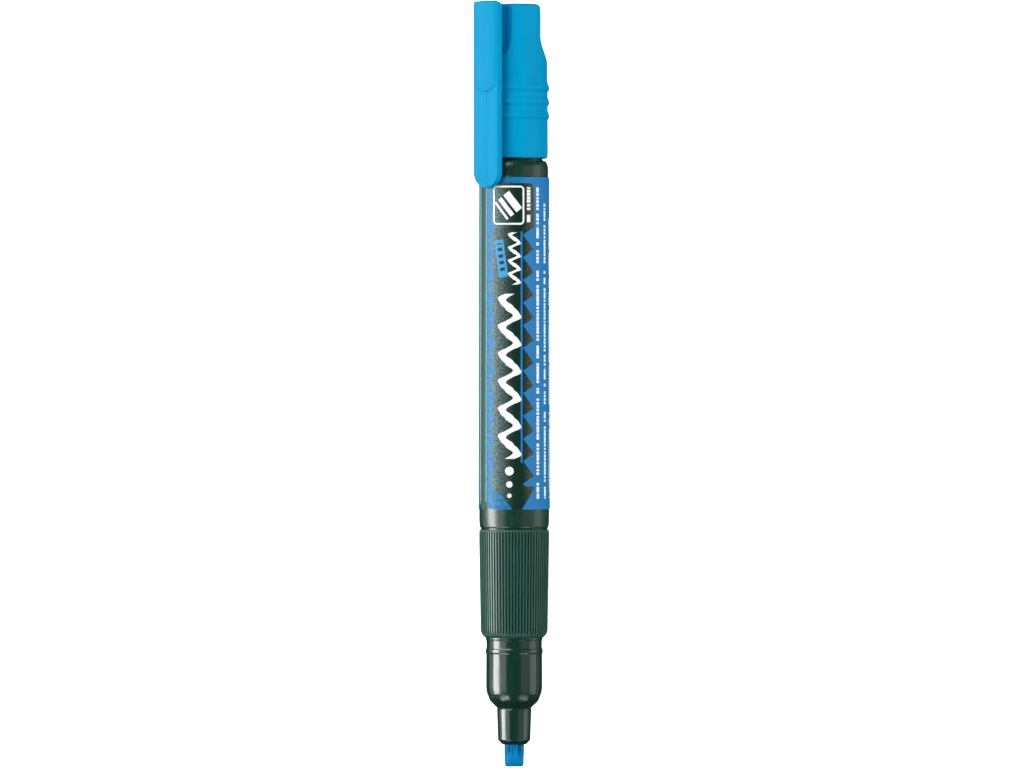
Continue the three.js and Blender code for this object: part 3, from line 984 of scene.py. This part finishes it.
def make_valve_stem():
    front, tail = ends_of("valve_stem")
    stem = [
        (front, 0),
        (front, 1.7, 0.2),
        (front + 0.8, 1.7, 0.15),
        (front + 1.15, 1.1, 0.2),
        (STEM_HEAD[0], 1.1, 0.1),
        (STEM_HEAD[0], 2.7, 0.15),
        (STEM_HEAD[0] + 0.9, 2.7, 0.2),
        (STEM_HEAD[1], 1.6, 0.15),
        (STEM_HEAD[1], 0.9, 0.1),
        (tail - 0.6, 0.9, 0.2),
        (tail, 0.4, 0.15),
        (tail, 0),
    ]
    piece = lathe("valve_stem_moulding", stem, columns=96)
    dressed(piece, NATURAL, "nib_body", "natural_plastic", "valve_stem")


SPRING_R = 2.2
SPRING_TURNS = 7
WIRE_R = 0.2


def make_spring():
    low, high = ends_of("valve_spring")
    t = np.linspace(0, 1, SPRING_TURNS * 48)[:, None]
    around = 2 * np.pi * SPRING_TURNS * t
    station = low + WIRE_R + (high - low - 2 * WIRE_R) * t
    section = np.linspace(0, 2 * np.pi, 16, endpoint=False)[None, :]
    radius = SPRING_R + WIRE_R * np.cos(section)
    points = placed(station + WIRE_R * np.sin(section), radius, -np.degrees(around))
    piece = grid_mesh("valve_spring_wire", capped(points))
    piece.data.flip_normals()
    dressed(piece, WIRE, "barrel_body", "spring_steel", "valve_spring")
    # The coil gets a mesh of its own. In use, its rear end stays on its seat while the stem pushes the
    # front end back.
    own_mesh(piece)


BALL_GRID = (49, 96)


def make_ball():
    lo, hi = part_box("mixing_ball")
    centre, radius = (lo + hi) / 2, (hi.y - lo.y) / 2
    pole = np.linspace(0, np.pi, BALL_GRID[0])[:, None]
    turn = np.linspace(0, 2 * np.pi, BALL_GRID[1], endpoint=False)[None, :]
    ring = radius * np.sin(pole)
    points = np.stack(
        [
            centre.x - ring * np.sin(turn),
            np.broadcast_to(centre.y - radius * np.cos(pole), BALL_GRID),
            centre.z + ring * np.cos(turn),
        ],
        axis=-1,
    )
    dressed(grid_mesh("mixing_ball_steel", points), BALL, "ball_body", "ball_steel", "mixing_ball")


# ---------------------------------------------------------------- floor, light, camera
FLOOR_DROP = 0.05 * MM
FLOOR_GLOW = 0.96
WORLD_GLOW = 0.06


def make_floor():
    """A plain glowing floor, kept out of reflections, bounced light and shadows for a cut-out's look."""
    bpy.ops.mesh.primitive_plane_add(size=6, location=(0, 0, -FLOOR_DROP))
    floor = bpy.context.object
    floor.name = "floor"
    paint = Paint("floor_paper", 0.9)
    tone = paint.noise(paint.place(), 0.02, 2.0)
    paint.colour(paint.mix(tone, linear(246, 246, 246), linear(250, 250, 250)))
    paint.shader.inputs["Emission Color"].default_value = (1, 1, 1, 1)
    paint.shader.inputs["Emission Strength"].default_value = FLOOR_GLOW
    floor.data.materials.append(paint.material)
    floor.visible_glossy = False
    floor.visible_diffuse = False
    floor.visible_shadow = False


MIDDLE = Vector((AXIS_X, TIP_Y + 75 * MM, AXIS_Z))
LIGHT_AWAY = 0.5


def make_light(name, power, size, away, glossy=True, diffuse=True):
    """A soft box that faces the marker's middle. Offset and size are in m, its second size lengthways."""
    data = bpy.data.lights.new(name, "AREA")
    data.shape = "RECTANGLE"
    data.size, data.size_y = size
    data.energy = power
    light = bpy.data.objects.new(name, data)
    outwards = Vector(away).normalized()
    along = Vector((0, 1, 0))
    along = (along - along.dot(outwards) * outwards).normalized()
    light.rotation_euler = Matrix((along.cross(outwards), along, outwards)).transposed().to_euler()
    light.location = MIDDLE + Vector(away)
    light.visible_glossy = glossy
    light.visible_diffuse = diffuse
    light.visible_camera = False
    bpy.context.scene.collection.objects.link(light)


def beside(turn):
    """The offset of a light beside the marker, turned from straight up towards -X."""
    return (-LIGHT_AWAY * math.sin(math.radians(turn)), 0, LIGHT_AWAY * math.cos(math.radians(turn)))


GLOSS_LIGHTS = (  # seen in the plastic's gloss only: name, power, size, offset
    ("key_strip", 6.6, (0.26, 0.5), beside(80)),
    ("key_glow", 1.0, (0.3, 0.5), beside(50)),
    ("fill_strip", 0.8, (0.3, 0.5), beside(-83)),
    ("fill_glow", 0.28, (0.31, 0.5), beside(-45)),
    ("table_glow_left", 0.42, (0.26, 0.5), beside(108)),
    ("table_glow_right", 0.15, (0.26, 0.5), beside(-108)),
    ("head_glow", 3.4, (0.6, 0.25), (-0.35, 0.45, 0.3)),
    ("foot_glow_left", 1.6, (0.4, 0.2), (-0.35, -0.45, 0.3)),
    ("foot_glow_right", 0.8, (0.4, 0.2), (0.35, -0.45, 0.3)),
)
SOFT_LIGHTS = (  # light the plastic's own colour only
    ("soft_left", 3.35, (0.42, 0.6), beside(58)),
    ("soft_right", 2.4, (0.4, 0.6), beside(-60)),
    ("soft_head", 1.1, (0.4, 0.4), (0, 0.5, 0.45)),
)


def make_studio():
    """Long boxes on each side give the highlights, and wide soft boxes light the plastic's own colour."""
    world = bpy.data.worlds.new("studio")
    bpy.context.scene.world = world
    world.use_nodes = True
    background = world.node_tree.nodes["Background"]
    background.inputs["Color"].default_value = (1, 1, 1, 1)
    background.inputs["Strength"].default_value = WORLD_GLOW
    for light in GLOSS_LIGHTS:
        make_light(*light, diffuse=False)
    for light in SOFT_LIGHTS:
        make_light(*light, glossy=False)


LENS, SENSOR = 250.0, 36.0
FRAME_WIDTH = 200.8  # mm of the marker's plane across the picture
CAMERA_X = -0.43  # mm from the axis
CAMERA_REACH = 20  # m


def make_camera():
    data = bpy.data.cameras.new("camera")
    data.lens, data.sensor_width = LENS, SENSOR
    data.clip_end = CAMERA_REACH
    camera = bpy.data.objects.new("camera", data)
    distance = FRAME_WIDTH * MM * LENS / SENSOR
    camera.location = MIDDLE + Vector((CAMERA_X * MM, 0, distance))
    bpy.context.scene.collection.objects.link(camera)
    bpy.context.scene.camera = camera


make_nib()
make_front_section()
make_grip()
make_barrel()
make_tail_plug()
make_label()
make_cap()
make_clip()
make_inner_cap()
make_valve_housing()
make_valve_rings()
make_valve_stem()
make_spring()
make_ball()
make_floor()
make_studio()
make_camera()
bpy.context.scene.view_settings.view_transform = "Standard"
